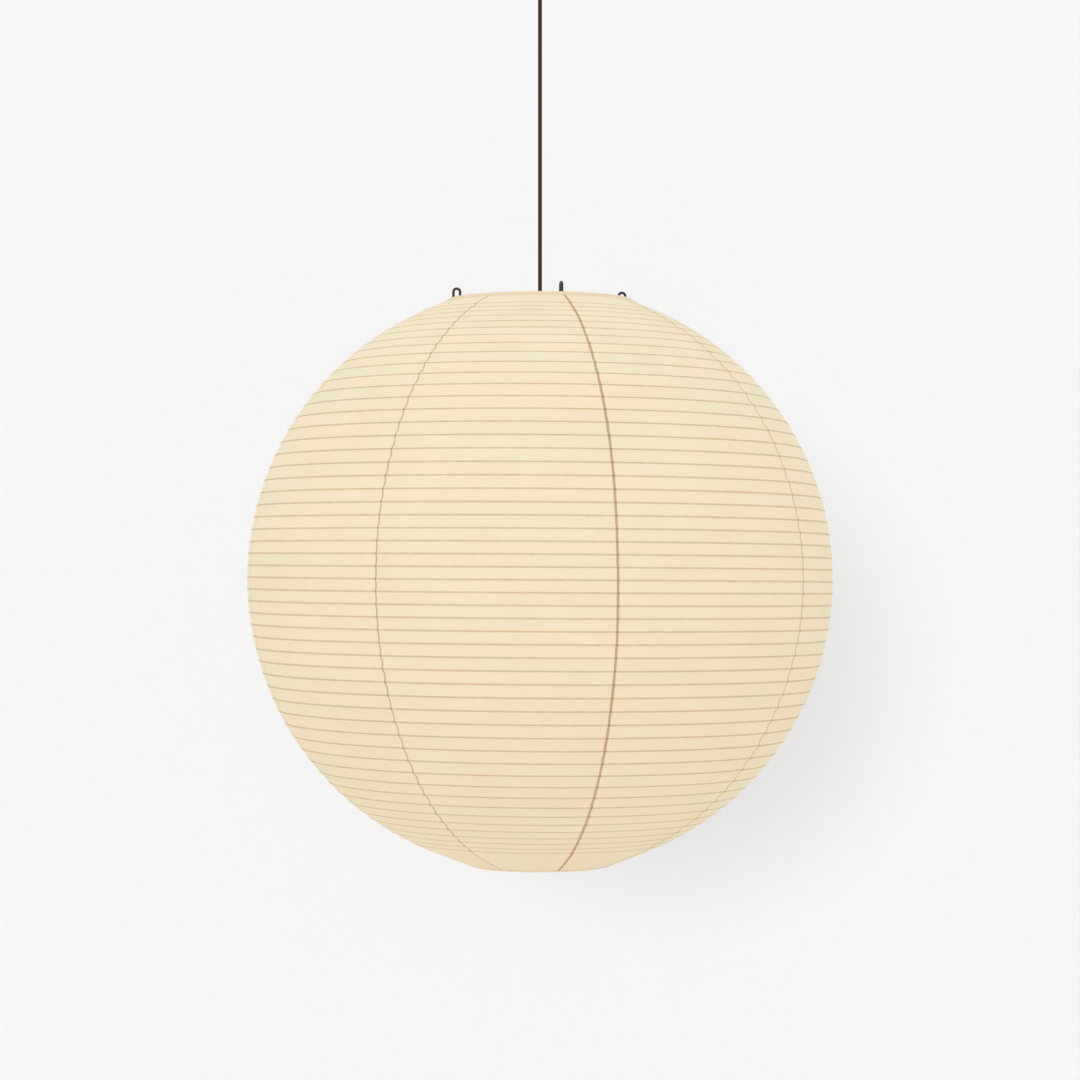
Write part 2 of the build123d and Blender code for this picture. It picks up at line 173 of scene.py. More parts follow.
# ---------------------------------------------------------------- material helpers
class Nodes:
    """A material under construction, with short calls for the nodes that it needs."""

    def __init__(self, name):
        self.material = bpy.data.materials.new(name)
        self.material.use_nodes = True
        self.tree = self.material.node_tree
        self.shader = self.tree.nodes["Principled BSDF"]

    def add(self, kind, settings=(), **inputs):
        node = self.tree.nodes.new(kind)
        for key, value in dict(settings).items():
            setattr(node, key, value)
        for key, value in inputs.items():
            self.feed(node.inputs[key.replace("_", " ")], value)
        return node

    def feed(self, socket, value):
        if isinstance(value, bpy.types.NodeSocket):
            self.tree.links.new(value, socket)
        else:
            socket.default_value = value

    def set(self, **inputs):
        for key, value in inputs.items():
            self.feed(self.shader.inputs[key.replace("_", " ")], value)
        return self.material

    def math(self, operation, *values):
        node = self.tree.nodes.new("ShaderNodeMath")
        node.operation = operation
        for socket, value in zip(node.inputs, values):
            self.feed(socket, value)
        return node.outputs[0]

    def object_point(self):
        return self.add("ShaderNodeTexCoord").outputs["Object"]

    def uv(self, name):
        return self.add("ShaderNodeUVMap", {"uv_map": name}).outputs["UV"]

    def stretch(self, vector, scale):
        node = self.add("ShaderNodeMapping", Vector=vector)
        node.inputs["Scale"].default_value = scale
        return node.outputs["Vector"]

    def noise(self, vector, scale, detail=2.0, roughness=0.5, distortion=0.0):
        return self.add(
            "ShaderNodeTexNoise", Vector=vector, Scale=scale, Detail=detail,
            Roughness=roughness, Distortion=distortion,
        ).outputs["Fac"]

    def line(self, value, row=0.0):
        """A vector that runs along X with value, for noise that varies along one line."""
        return self.add("ShaderNodeCombineXYZ", X=value, Y=row).outputs["Vector"]

    def span(self, value, low, high, to_low=0.0, to_high=1.0, smooth=False):
        node = self.add("ShaderNodeMapRange", Value=value)
        node.interpolation_type = "SMOOTHSTEP" if smooth else "LINEAR"
        for socket, number in zip(list(node.inputs)[1:5], (low, high, to_low, to_high)):
            self.feed(socket, number)
        return node.outputs["Result"]

    def mix(self, factor, first, second, kind="MIX"):
        node = self.tree.nodes.new("ShaderNodeMix")
        node.data_type = "RGBA"
        node.blend_type = kind
        sockets = (node.inputs[0], node.inputs[6], node.inputs[7])
        for socket, value in zip(sockets, (factor, first, second)):
            self.feed(socket, value)
        return node.outputs[2]

    def bump(self, height, strength, distance):
        node = self.add("ShaderNodeBump", Height=height, Strength=strength, Distance=distance)
        return node.outputs["Normal"]


def rgb(red, green, blue):
    return (red, green, blue, 1.0)


# ---------------------------------------------------------------- materials
PAPER_COLOUR = rgb(0.748, 0.662, 0.504)
CLOUD_COLOUR = rgb(0.734, 0.642, 0.480)
FIBRE_COLOUR = rgb(0.82, 0.74, 0.59)
GRAIN_COLOUR = rgb(0.56, 0.43, 0.26)
# Painted glow: the paper emits its own colour, standing in for the bulb's light shining through it
PAPER_PAINTED_GLOW = 0.28
INSIDE_PAINTED_GLOW = 0.55  # painted glow of the inner side, standing in for the bulb's light on it
LOW_PAINTED_SHADE = rgb(0.965, 0.930, 0.875)  # painted shade: the paper is made darker and warmer towards the lower mouth
# Painted shadow of the bamboo strip on the paper: its two tones and its half widths
RIB_SHADOW_OLIVE = rgb(0.68, 0.65, 0.55)
RIB_SHADOW_ROSE = rgb(0.75, 0.63, 0.51)
PANEL_OLIVE = rgb(0.972, 0.985, 0.955)
PANEL_ROSE = rgb(1.0, 0.972, 0.945)
RIB_SHADOW_HALF_WIDTHS = (1.40 * MM, 1.85 * MM)
CLOSE_TURNS = 11 * MM  # gaps between turns where the strip's painted shadow shows least, and in full
WIDE_TURNS = 18 * MM
CLOSE_SHOWN = 0.74


def washi(name, tint=None, rib_shadow_lines=True, glow=PAPER_PAINTED_GLOW):
    """Mulberry paper: fibres and clouds, a painted glow in its own colour that stands in for the bulb's
    light, painted shade towards the lower mouth, and the strip's painted shadow.
    """
    n = Nodes(name)
    sheet = n.uv("sheet")
    clouds = n.noise(sheet, 9.0, 3.0, 0.6)
    grain = n.noise(sheet, 420.0, 2.0, 0.7)
    fibre_field = n.noise(n.stretch(sheet, (1.0, 1.6, 1.0)), 55.0, 1.0, 0.4, 1.6)
    fibre = n.span(n.math("ABSOLUTE", n.math("SUBTRACT", fibre_field, 0.5)), 0.0, 0.010, 1.0, 0.0)
    colour = n.mix(n.span(clouds, 0.3, 0.7), PAPER_COLOUR, CLOUD_COLOUR)
    colour = n.mix(n.math("MULTIPLY", fibre, 0.10), colour, FIBRE_COLOUR)
    colour = n.mix(n.math("MULTIPLY", n.span(grain, 0.35, 0.75), 0.05), colour, GRAIN_COLOUR)
    # Painted shade: darker and warmer towards the lower mouth, by height
    shade_height_share = n.span(n.add("ShaderNodeSeparateXYZ", Vector=n.object_point()).outputs["Z"],
                          centre_z + BOTTOM_EDGE, centre_z + TOP_EDGE)
    colour = n.mix(shade_height_share, n.mix(1.0, colour, LOW_PAINTED_SHADE, "MULTIPLY"), colour)
    # Painted shadow lines of the strip on the paper, with random width and tone
    if rib_shadow_lines:
        spiral = n.add("ShaderNodeSeparateXYZ", Vector=n.uv("rib")).outputs
        gap = n.add("ShaderNodeSeparateXYZ", Vector=n.uv("gap")).outputs["X"]
        nearest = n.math("ROUND", spiral["X"])
        turns_away = n.math("ABSOLUTE", n.math("SUBTRACT", spiral["X"], nearest))
        away = n.math("MULTIPLY", turns_away, gap)
        along = n.math("ADD", nearest, spiral["Y"])  # turns along the strip
        present = n.math("MULTIPLY", n.math("GREATER_THAN", along, 0.0),
                         n.math("LESS_THAN", along, STRIP_TURNS))
        slow = n.noise(n.line(n.math("MULTIPLY", along, 9.0)), 1.0, 2.0, 0.6)
        quick = n.noise(n.line(n.math("MULTIPLY", along, 160.0), 5.0), 1.0, 2.0, 0.6)
        half = n.span(quick, 0.3, 0.7, *RIB_SHADOW_HALF_WIDTHS)
        band = n.span(n.math("DIVIDE", away, half), 0.25, 1.0, 1.0, 0.0, smooth=True)
        # Where the turns are close the strip lies flatter and its painted shadow shows less
        flat = n.span(gap, CLOSE_TURNS, WIDE_TURNS, CLOSE_SHOWN, 1.0)
        shown = n.math("MULTIPLY", present, flat)
        tone = n.mix(n.span(slow, 0.40, 0.60), RIB_SHADOW_OLIVE, RIB_SHADOW_ROSE)
        uneven = n.span(quick, 0.25, 0.75, 0.82, 1.0)
        strength = n.math("MULTIPLY", n.math("MULTIPLY", band, shown), uneven)
        between = n.math("ADD", n.math("FLOOR", spiral["X"]), spiral["Y"])
        panel = n.noise(n.line(n.math("MULTIPLY", between, 5.0), 9.0), 1.0, 1.0)
        panel_tone = n.mix(n.span(panel, 0.42, 0.58), PANEL_OLIVE, PANEL_ROSE)
        colour = n.mix(1.0, colour, panel_tone, "MULTIPLY")
        colour = n.mix(strength, colour, n.mix(1.0, colour, tone, "MULTIPLY"))
    # A tint: for the seams it is painted shade
    if tint is not None:
        colour = n.mix(1.0, colour, tint, "MULTIPLY")
    height = n.math("ADD", n.math("MULTIPLY", grain, 0.5), n.math("MULTIPLY", fibre, 0.5))
    # The emission is the painted glow, in the paper's own colour
    return n.set(
        Base_Color=colour, Roughness=0.82, Normal=n.bump(height, 0.25, 0.25 * MM),
        Emission_Color=colour, Emission_Strength=glow, Specular_IOR_Level=0.2,
    )


def lacquer(name, colour, roughness=0.42):
    """Dark brown lacquered wire and sheet, a little uneven, with a satin shine."""
    n = Nodes(name)
    point = n.object_point()
    patches = n.noise(point, 60.0, 4.0, 0.6)
    specks = n.noise(point, 900.0, 2.0, 0.5)
    base = n.mix(n.span(patches, 0.35, 0.7), rgb(*colour), rgb(*(c * 1.7 for c in colour)))
    rough = n.span(patches, 0.3, 0.7, roughness - 0.08, roughness + 0.12)
    return n.set(
        Base_Color=base, Roughness=rough, Specular_IOR_Level=0.35,
        Normal=n.bump(specks, 0.15, 0.1 * MM),
    )


def braid(name):
    """Woven textile sleeve of the flex: two sets of strands that cross."""
    n = Nodes(name)
    place = n.add("ShaderNodeSeparateXYZ", Vector=n.object_point())
    around = n.math("ARCTAN2", place.outputs["Y"], place.outputs["X"])
    along = n.math("MULTIPLY", place.outputs["Z"], 2600.0)
    turned = n.math("MULTIPLY", around, 8.0)
    left = n.math("SINE", n.math("ADD", along, turned))
    right = n.math("SINE", n.math("SUBTRACT", along, turned))
    weave = n.math("MAXIMUM", left, right)
    fuzz = n.noise(n.object_point(), 1800.0, 2.0)
    # Painted shade and highlight: darker where the strands dip, lighter on their crowns
    base = n.mix(n.span(weave, -0.2, 1.0), rgb(0.030, 0.015, 0.008), rgb(0.066, 0.034, 0.018))
    base = n.mix(n.math("MULTIPLY", fuzz, 0.25), base, rgb(0.09, 0.052, 0.030))
    return n.set(
        Base_Color=base, Roughness=0.9, Specular_IOR_Level=0.2,
        Normal=n.bump(weave, 0.5, 0.25 * MM),
    )


def bamboo(name):
    """Split bamboo: pale straw with long dark streaks and a node now and then."""
    n = Nodes(name)
    strip = n.uv("strip")
    streak = n.noise(n.stretch(strip, (4.0, 900.0, 1.0)), 3.0, 4.0, 0.7)
    joint = n.noise(n.stretch(strip, (7.0, 0.0, 1.0)), 1.0, 0.0)
    base = n.mix(n.span(streak, 0.3, 0.7), rgb(0.62, 0.46, 0.25), rgb(0.40, 0.26, 0.12))
    base = n.mix(n.span(joint, 0.70, 0.74), base, rgb(0.22, 0.13, 0.06))
    return n.set(Base_Color=base, Roughness=0.5, Normal=n.bump(streak, 0.3, 0.1 * MM))


def moulded(name, colour, roughness, grain=0.12):
    """Moulded plastic or bakelite with a faint orange-peel skin."""
    n = Nodes(name)
    point = n.object_point()
    skin = n.noise(point, 700.0, 2.0, 0.5)
    cloud = n.noise(point, 45.0, 3.0, 0.6)
    base = n.mix(n.span(cloud, 0.3, 0.7), rgb(*colour), rgb(*(c * 0.86 for c in colour)))
    rough = n.span(cloud, 0.3, 0.7, roughness - 0.05, roughness + 0.08)
    return n.set(Base_Color=base, Roughness=rough, Normal=n.bump(skin, grain, 0.1 * MM))


def metal(name, colour, roughness):
    """Bare metal with fine turned or rolled lines and a slightly tarnished tone."""
    n = Nodes(name)
    point = n.object_point()
    lines = n.noise(n.stretch(point, (1.0, 1.0, 14.0)), 500.0, 2.0, 0.6)
    tarnish = n.noise(point, 80.0, 4.0, 0.65)
    base = n.mix(n.span(tarnish, 0.35, 0.75), rgb(*colour), rgb(*(c * 0.72 for c in colour)))
    rough = n.span(tarnish, 0.3, 0.7, roughness - 0.06, roughness + 0.14)
    return n.set(Base_Color=base, Roughness=rough, Metallic=1.0, Normal=n.bump(lines, 0.12, 0.05 * MM))


def glazed_ceramic(name):
    n = Nodes(name)
    point = n.object_point()
    speck = n.noise(point, 260.0, 3.0, 0.6)
    base = n.mix(n.span(speck, 0.55, 0.75), rgb(0.80, 0.77, 0.70), rgb(0.66, 0.61, 0.52))
    return n.set(Base_Color=base, Roughness=0.35, Coat_Weight=0.3, Normal=n.bump(speck, 0.08, 0.1 * MM))


def opal_glass(name):
    """Opal bulb, lit: white glass that glows warm, evenly, with a faint cloud in it."""
    n = Nodes(name)
    cloud = n.noise(n.object_point(), 30.0, 3.0, 0.5)
    base = n.mix(n.span(cloud, 0.3, 0.7), rgb(0.93, 0.90, 0.84), rgb(0.90, 0.86, 0.78))
    glow = n.mix(n.span(cloud, 0.3, 0.7), rgb(1.0, 0.88, 0.66), rgb(1.0, 0.84, 0.60))
    return n.set(
        Base_Color=base, Roughness=0.18, Coat_Weight=0.5,
        Emission_Color=glow, Emission_Strength=0.6,
    )


def painted_stage(name):
    """Pale matt wall and floor, seen only from their front, so that no view is blocked."""
    n = Nodes(name)
    n.set(Base_Color=rgb(0.925, 0.930, 0.942), Roughness=1.0, Specular_IOR_Level=0.0)
    clear = n.add("ShaderNodeBsdfTransparent")
    facing = n.add("ShaderNodeNewGeometry").outputs["Backfacing"]
    blend = n.add("ShaderNodeMixShader")
    n.feed(blend.inputs[0], facing)
    n.feed(blend.inputs[1], n.shader.outputs[0])
    n.feed(blend.inputs[2], clear.outputs[0])
    n.feed(n.tree.nodes["Material Output"].inputs["Surface"], blend.outputs[0])
    return n.material


paper = washi("washi_paper")
# The inner side glows more: painted glow standing in for the bulb's light on it
inside_paper = washi("washi_inside", glow=INSIDE_PAINTED_GLOW)
# Painted shade at the seams, where the double paper lets less of the inner light through
SEAM_SHADE_PAPERS = {
    "rose": washi("washi_seam_rose", rgb(0.66, 0.53, 0.44)),
    "olive": washi("washi_seam_olive", rgb(0.70, 0.63, 0.52)),
    "faint": washi("washi_seam_faint", rgb(0.79, 0.75, 0.66)),
}
# The seams' inner side is painted darker too
inside_seam_shade = washi("washi_seam_inside", rgb(0.70, 0.60, 0.50), glow=INSIDE_PAINTED_GLOW)
top_hem_paper = washi("washi_top_hem", rgb(0.93, 0.865, 0.80), rib_shadow_lines=False)
low_hem_paper = washi("washi_low_hem", rgb(0.965, 0.94, 0.90), rib_shadow_lines=False)
bamboo_material = bamboo("split_bamboo")
wire_material = lacquer("bronze_lacquer", (0.030, 0.021, 0.016))
hoop_material = lacquer("hoop_lacquer", (0.060, 0.045, 0.034), 0.5)
canopy_material = lacquer("canopy_lacquer", (0.028, 0.019, 0.014), 0.38)
cord_material = braid("textile_braid")
bakelite = moulded("black_bakelite", (0.022, 0.018, 0.016), 0.28)
white_plastic = moulded("white_plastic", (0.82, 0.80, 0.76), 0.42)
core_plastic = moulded("core_sheath", (0.16, 0.07, 0.03), 0.4)
black_glass = moulded("black_glass", (0.012, 0.012, 0.014), 0.12, 0.0)
ceramic_material = glazed_ceramic("socket_ceramic")
brass = metal("brass", (0.72, 0.50, 0.22), 0.30)
steel = metal("zinc_steel", (0.58, 0.58, 0.57), 0.34)
nickel = metal("nickel_cap", (0.66, 0.63, 0.58), 0.28)
opal = opal_glass("opal_glass")

NODE_MATERIALS = {
    wire_material: ["top_arm_front", "top_arm_back", "top_arm_left", "top_arm_right", "leg_wire_front",
                    "leg_wire_back", "leg_wire_left", "leg_wire_right", "hub_ring_a", "hub_ring_b"],
    hoop_material: ["top_hoop", "bottom_hoop"],
    canopy_material: ["canopy_cup", "canopy_screws", "cord_gland"],
    bakelite: ["lampholder_cap", "lampholder_skirt", "cord_grip", "shade_ring"],
    white_plastic: ["bulb_collar", "terminal_block"],
    core_plastic: ["core_wires"],
    black_glass: ["bulb_insulator"],
    ceramic_material: ["socket_insert"],
    brass: ["thread_shell", "centre_contact", "bulb_contact"],
    steel: ["ceiling_plate", "terminal_screws", "socket_screws", "gland_nut", "grub_screw", "led_board"],
    nickel: ["bulb_cap"],
    opal: ["bulb_glass"],
    cord_material: ["cord_tail"],
}
for material, names in NODE_MATERIALS.items():
    for name in names:
        for slot in nodes[name].material_slots:
            slot.material = material


# The ceiling parts would throw a shadow on the backdrop that a real ceiling keeps off it
for node in frame["bodies"]["ceiling_body"].children:
    node.visible_shadow = False


# ---------------------------------------------------------------- cord
cord_curve = bpy.data.curves.new("textile_cord", "CURVE")
cord_curve.dimensions = "3D"
CORD_DIAMETER = 5.15 * MM
CORD_POINTS = [(0, 0, -459 * MM), (0, 0, -55 * MM)]
cord_curve.bevel_depth = CORD_DIAMETER / 2
cord_curve.bevel_resolution = 6
cord_curve.use_fill_caps = True
run = cord_curve.splines.new("NURBS")
run.points.add(len(CORD_POINTS) - 1)
for point, place in zip(run.points, CORD_POINTS):
    point.co = (*place, 1.0)
run.order_u = 3
run.use_endpoint_u = True
cord = bpy.data.objects.new("textile_cord", cord_curve)
bpy.context.scene.collection.objects.link(cord)
cord_curve.materials.append(cord_material)
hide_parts("cord")
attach(cord, "cord_body")


# ---------------------------------------------------------------- mesh helper
def build_mesh(name, points, faces, materials, material_index=None, uv_maps=()):
    mesh = bpy.data.meshes.new(name)
    mesh.from_pydata([tuple(p) for p in points], [], [tuple(f) for f in faces])
    for material in materials:
        mesh.materials.append(material)
    if material_index is not None:
        mesh.polygons.foreach_set("material_index", np.asarray(material_index, dtype=np.int32))
    corners = np.empty(len(mesh.loops), dtype=np.int32)
    mesh.loops.foreach_get("vertex_index", corners)
    for map_name, values in uv_maps:
        layer = mesh.uv_layers.new(name=map_name)
        layer.data.foreach_set("uv", np.asarray(values, dtype=np.float32)[corners].ravel())
    mesh.polygons.foreach_set("use_smooth", np.ones(len(mesh.polygons), dtype=bool))
    mesh.update()
    piece = bpy.data.objects.new(name, mesh)
    bpy.context.scene.collection.objects.link(piece)
    return piece


def thicken(piece, thickness, inside=0):
    """Gives a sheet its thickness, on its inner side, whose material slot is so many further on."""
    solidify = piece.modifiers.new("thickness", "SOLIDIFY")
    solidify.material_offset = inside
    solidify.thickness = thickness
    solidify.offset = -1.0
    solidify.use_even_offset = False
    with bpy.context.temp_override(object=piece, active_object=piece, selected_objects=[piece]):
        bpy.ops.object.modifier_apply(modifier=solidify.name)


def grid_faces(rows, columns, wrap=False):
    across = columns if wrap else columns - 1
    row, column = np.meshgrid(np.arange(rows - 1), np.arange(across), indexing="ij")
    here = row * columns + column
    beside = row * columns + (column + 1) % columns
    return np.stack([here, here + columns, beside + columns, beside], axis=-1).reshape(-1, 4)


# ---------------------------------------------------------------- the shade's section
LOW_HANDLE = 30 * MM  # how far the paper keeps its slope as it leaves the globe
HIGH_HANDLE = 12 * MM


def bend(start, handle, end):
    """A quadratic curve from start to end, as rows of (radius, height)."""
    t = np.linspace(0, 1, 25)[:, None]
    return (1 - t) ** 2 * np.array(start) + 2 * t * (1 - t) * np.array(handle) + t**2 * np.array(end)


def section_table():
    """The shade's section from its lower edge to its upper one: (radius, height) rows, with their
    places along it. A place is the globe's radius times the latitude where the shade is round."""
    angles = np.radians(np.linspace(ROUND_BOTTOM, FLARE_LATITUDE, 2001))
    round_part = globe_r * np.column_stack([np.cos(angles), np.sin(angles)])
    down = np.array([math.sin(angles[0]), -math.cos(angles[0])])
    up = np.array([-math.sin(angles[-1]), math.cos(angles[-1])])
    low = bend((BOTTOM_MOUTH_R, BOTTOM_EDGE), round_part[0] + LOW_HANDLE * down, round_part[0])
    collar_foot = (TOP_MOUTH_R, TOP_EDGE - TOP_COLLAR)
    high = bend(round_part[-1], round_part[-1] + HIGH_HANDLE * up, collar_foot)
    points = np.vstack([low[:-1], round_part, high[1:], [(TOP_MOUTH_R, TOP_EDGE)]])
    steps = np.hypot(*np.diff(points, axis=0).T)
    places = np.concatenate([[0.0], np.cumsum(steps)])
    return places - places[len(low) - 1] + globe_r * angles[0], points


SECTION_PLACES, SECTION_POINTS = section_table()
LOWER_END, UPPER_END = SECTION_PLACES[0], SECTION_PLACES[-1]
UPPER_KNEE = SECTION_PLACES[-2]


def on_section(places, lift=0.0):
    """Radius and height at places along the section, lifted off it outward."""
    radii = np.interp(places, SECTION_PLACES, SECTION_POINTS[:, 0])
    heights = np.interp(places, SECTION_PLACES, SECTION_POINTS[:, 1])
    reach = np.hypot(radii, heights)
    return radii * (1 + lift / reach), heights * (1 + lift / reach)


# ---------------------------------------------------------------- paper gores
SHEET = 0.22 * MM  # thickness of the paper
SAG = 0.55 * MM  # how far the paper draws in between two turns of the strip
SEAM_SAG = 1.1 * MM  # and how much further beside a seam, where the paste has shrunk it
SAG_GAP = 18 * MM  # the gap between turns that has these sags; they grow with its square
SEAM_REACH = 13 * MM  # how far from the seam that is felt
LAYER = 0.27 * MM  # how far an overlapping edge stands out over the gore below it
UNDER_EDGE = 0.3  # the share of a layer by which the paper beside that edge still stands out
# Rows of points from one turn of the strip to the next, as shares of the way
ROW_STEPS = (0.0, 0.045, 0.13, 0.27, 0.42, 0.58, 0.73, 0.87, 0.955)
FIELD_COLUMNS = 26  # across a gore, between its seams
MOUTH_ROWS = 9  # from the last turn to a mouth
# For the seam where each gore starts: its width in mm, how far in mm it bows sideways between
# turns, and its tone of painted shade
SEAMS = (
    (2.7, 0.5, "olive"), (2.5, 0.3, "rose"), (2.9, 0.6, "olive"), (2.6, -0.4, "rose"),
    (2.7, 0.5, "faint"), (2.2, 0.6, "olive"), (3.1, 0.1, "rose"), (2.9, -0.5, "faint"),
)


def knots(seed, count, low=-1.0, high=1.0):
    """A smooth random line through count values between low and high, for np.interp."""
    values = np.random.default_rng(seed).uniform(low, high, count)
    return np.arange(count), values


def wander(seed, count, share):
    """A slow random drift from -1 to 1 along share, which runs from 0 to 1."""
    places, values = knots(seed, count)
    return np.interp(share * (count - 1), places, values)


SLOW_SAG = knots(11, 1000, 0.7, 1.3)
QUICK_SAG = knots(12, 3000, -0.22, 0.22)


def sag_share(strip_turns):
    """How slack the paper is below each place on the strip, the same on both sides of a seam."""
    slow = np.interp(strip_turns * 15 + 20, *SLOW_SAG)
    quick = np.interp(strip_turns * 50 + 60, *QUICK_SAG)
    return slow + quick


def make_gore(index):
    """One gore of paper. Its rows run along the strip, so each turn has a row of its own."""
    first = 360 / GORE_COUNT * index
    last = first + 360 / GORE_COUNT
    branch = 360 if last <= START_AZIMUTH else 0

    def ahead(azimuth):
        return (azimuth + branch - START_AZIMUTH) / 360

    turn_count = math.floor(STRIP_TURNS - ahead(first))
    shares = np.arange(MOUTH_ROWS - 1, 0, -1) / MOUTH_ROWS
    rows = [(0, UPPER_END, 1), (0, UPPER_KNEE, 1)] + [(0, UPPER_KNEE, share) for share in shares]
    rows += [(turn + step, 0, 0) for turn in range(turn_count) for step in ROW_STEPS]
    rows += [(turn_count, 0, 0)] + [(turn_count, LOWER_END, share) for share in shares[::-1]]
    rows += [(turn_count, LOWER_END, 1)]
    row_turns, end_place, share = (column[:, None] for column in np.array(rows).T)
    between = np.where(share > 0, 0.0, row_turns % 1)

    def round_place(azimuth):
        return globe_r * np.radians(latitude_at(row_turns + ahead(azimuth)))

    def place_of(azimuth):
        return round_place(azimuth) * (1 - share) + end_place * share

    def gap_at(azimuth):
        return globe_r * np.radians(pitch(latitude_at(row_turns + ahead(azimuth))))

    def seam(azimuth, number, side):
        """Azimuths of one edge of the strip where two gores overlap, row by row."""
        width, bow, _ = SEAMS[number % GORE_COUNT]
        place = place_of(azimuth)
        height = (place - LOWER_END) / (UPPER_END - LOWER_END)
        shift = bow * np.sin(math.pi * between) * (gap_at(azimuth) / SAG_GAP) ** 2
        shift += 0.5 * wander(40 + number % GORE_COUNT, 10, height)
        shift += side * width / 2 * (1 + 0.12 * wander(50 + number % GORE_COUNT, 40, height))
        return azimuth + np.degrees(shift * MM / on_section(place)[0])

    start_seam = [seam(first, index, side) for side in (-1, 0, 1)]
    end_seam = [seam(last, index + 1, side) for side in (-1, 0, 1)]
    across = np.linspace(0, 1, FIELD_COLUMNS + 2)[1:-1]
    field = start_seam[2] + (end_seam[0] - start_seam[2]) * across
    azimuths = np.hstack([*start_seam, field, *end_seam])

    places = place_of(azimuths)
    radii = on_section(places)[0]
    lift = np.zeros_like(azimuths)
    lift[:, :3] = LAYER
    lift[:, 3] = LAYER * UNDER_EDGE
    from_seam = np.minimum(azimuths - first, last - azimuths)
    from_seam = np.radians(np.maximum(from_seam, 0)) * radii
    gap = gap_at(azimuths)
    depth = (SAG + SEAM_SAG * np.exp(-((from_seam / SEAM_REACH) ** 2))) * (gap / SAG_GAP) ** 2
    slack = sag_share(row_turns + ahead(azimuths) - between)
    lift -= depth * slack * (1 - (2 * between - 1) ** 2) * (share == 0)
    radii, heights = on_section(places, lift)
    angles = np.radians(azimuths)
    points = np.stack([radii * np.cos(angles), radii * np.sin(angles), centre_z + heights], axis=-1)

    middle = (first + last) / 2
    across_sheet = np.radians(azimuths - middle) * radii + 1.3 * index
    sheet_uv = np.stack([across_sheet, places + 0.7 * index], axis=-1)
    past = np.clip((round_place(azimuths) - places) / gap, -0.5, 0.5)
    rib_uv = np.stack([row_turns + past, ahead(azimuths)], axis=-1)
    gap_uv = np.stack([gap, np.zeros_like(gap)], axis=-1)

    columns = azimuths.shape[1]
    faces = grid_faces(len(rows), columns)
    on_seam = np.tile(np.arange(columns - 1) <= 1, len(rows) - 1)
    uv_maps = [("sheet", sheet_uv), ("rib", rib_uv), ("gap", gap_uv)]
    piece = build_mesh(
        f"washi_gore_{index + 1}", points.reshape(-1, 3), faces,
        [paper, SEAM_SHADE_PAPERS[SEAMS[index][2]], inside_paper, inside_seam_shade], on_seam,
        [(name, uv.reshape(-1, 2)) for name, uv in uv_maps],
    )
    thicken(piece, SHEET, inside=2)
    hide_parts(f"paper_gore_{index + 1}")
    return piece


# ---------------------------------------------------------------- the bamboo strip
STRIP_DEPTH = 1.1 * MM
STRIP_WIDTH = 1.3 * MM
STRIP_CORNER = 0.3 * MM
STRIP_STEPS = 150  # to a turn
STRIP_INSET = 1.0 * MM  # from the globe's surface to the strip's outer side
STRIP_WANDER = 0.05 * MM


def make_strip():
    """The strip's own helix, inside the paper, with its corners taken off."""
    half_d, half_w, corner = STRIP_DEPTH / 2, STRIP_WIDTH / 2, STRIP_CORNER
    outline = np.array([
        (half_d, half_w - corner), (half_d - corner, half_w),
        (corner - half_d, half_w), (-half_d, half_w - corner),
        (-half_d, corner - half_w), (corner - half_d, -half_w),
        (half_d - corner, -half_w), (half_d, corner - half_w),
    ])
    sides = len(outline)
    count = int(STRIP_TURNS * STRIP_STEPS) + 1
    turns = np.arange(count) / STRIP_STEPS
    latitude = np.radians(latitude_at(turns))
    azimuth = np.radians(START_AZIMUTH + 360 * turns)
    out = np.stack([np.cos(latitude) * np.cos(azimuth), np.cos(latitude) * np.sin(azimuth),
                    np.sin(latitude)], axis=-1)
    up = np.stack([-np.sin(latitude) * np.cos(azimuth), -np.sin(latitude) * np.sin(azimuth),
                   np.cos(latitude)], axis=-1)
    wobble = np.random.default_rng(7).normal(0, STRIP_WANDER, count)
    wobble = np.convolve(wobble, np.ones(9) / 9, mode="same")[:, None]
    middle = out * (globe_r - STRIP_INSET - half_d) + up * wobble
    points = middle[:, None] + out[:, None] * outline[:, :1] + up[:, None] * outline[:, 1:]
    points = points.reshape(-1, 3) + np.array([0, 0, centre_z])
    strip_uv = np.stack(np.broadcast_arrays(2 * turns[:, None], np.arange(sides) / sides), axis=-1)
    faces = [tuple(face) for face in grid_faces(count, sides, wrap=True)]
    faces.append(tuple(range(sides)))
    faces.append(tuple(range(len(points) - 1, len(points) - 1 - sides, -1)))
    strip = build_mesh("bamboo_spiral", points, faces, [bamboo_material], None,
                       [("strip", strip_uv.reshape(-1, 2))])
    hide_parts("bamboo_rib")
    return strip


collapsing = [make_gore(i) for i in range(GORE_COUNT)] + [make_strip()]
for piece in collapsing:
    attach(piece, "shade_body")
    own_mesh(piece)


# ---------------------------------------------------------------- hems
HEM_SKIN = 0.3 * MM  # how far the hem's paper stands out over the gores
HEM_COLUMNS = 288
HEM_RIPPLE = 0.10 * MM
HEM_RAGGED = 0.35 * MM  # of its cut edge
LOWER_TUCK = 0.85 * MM  # how far inside its outer side the lower hem turns up


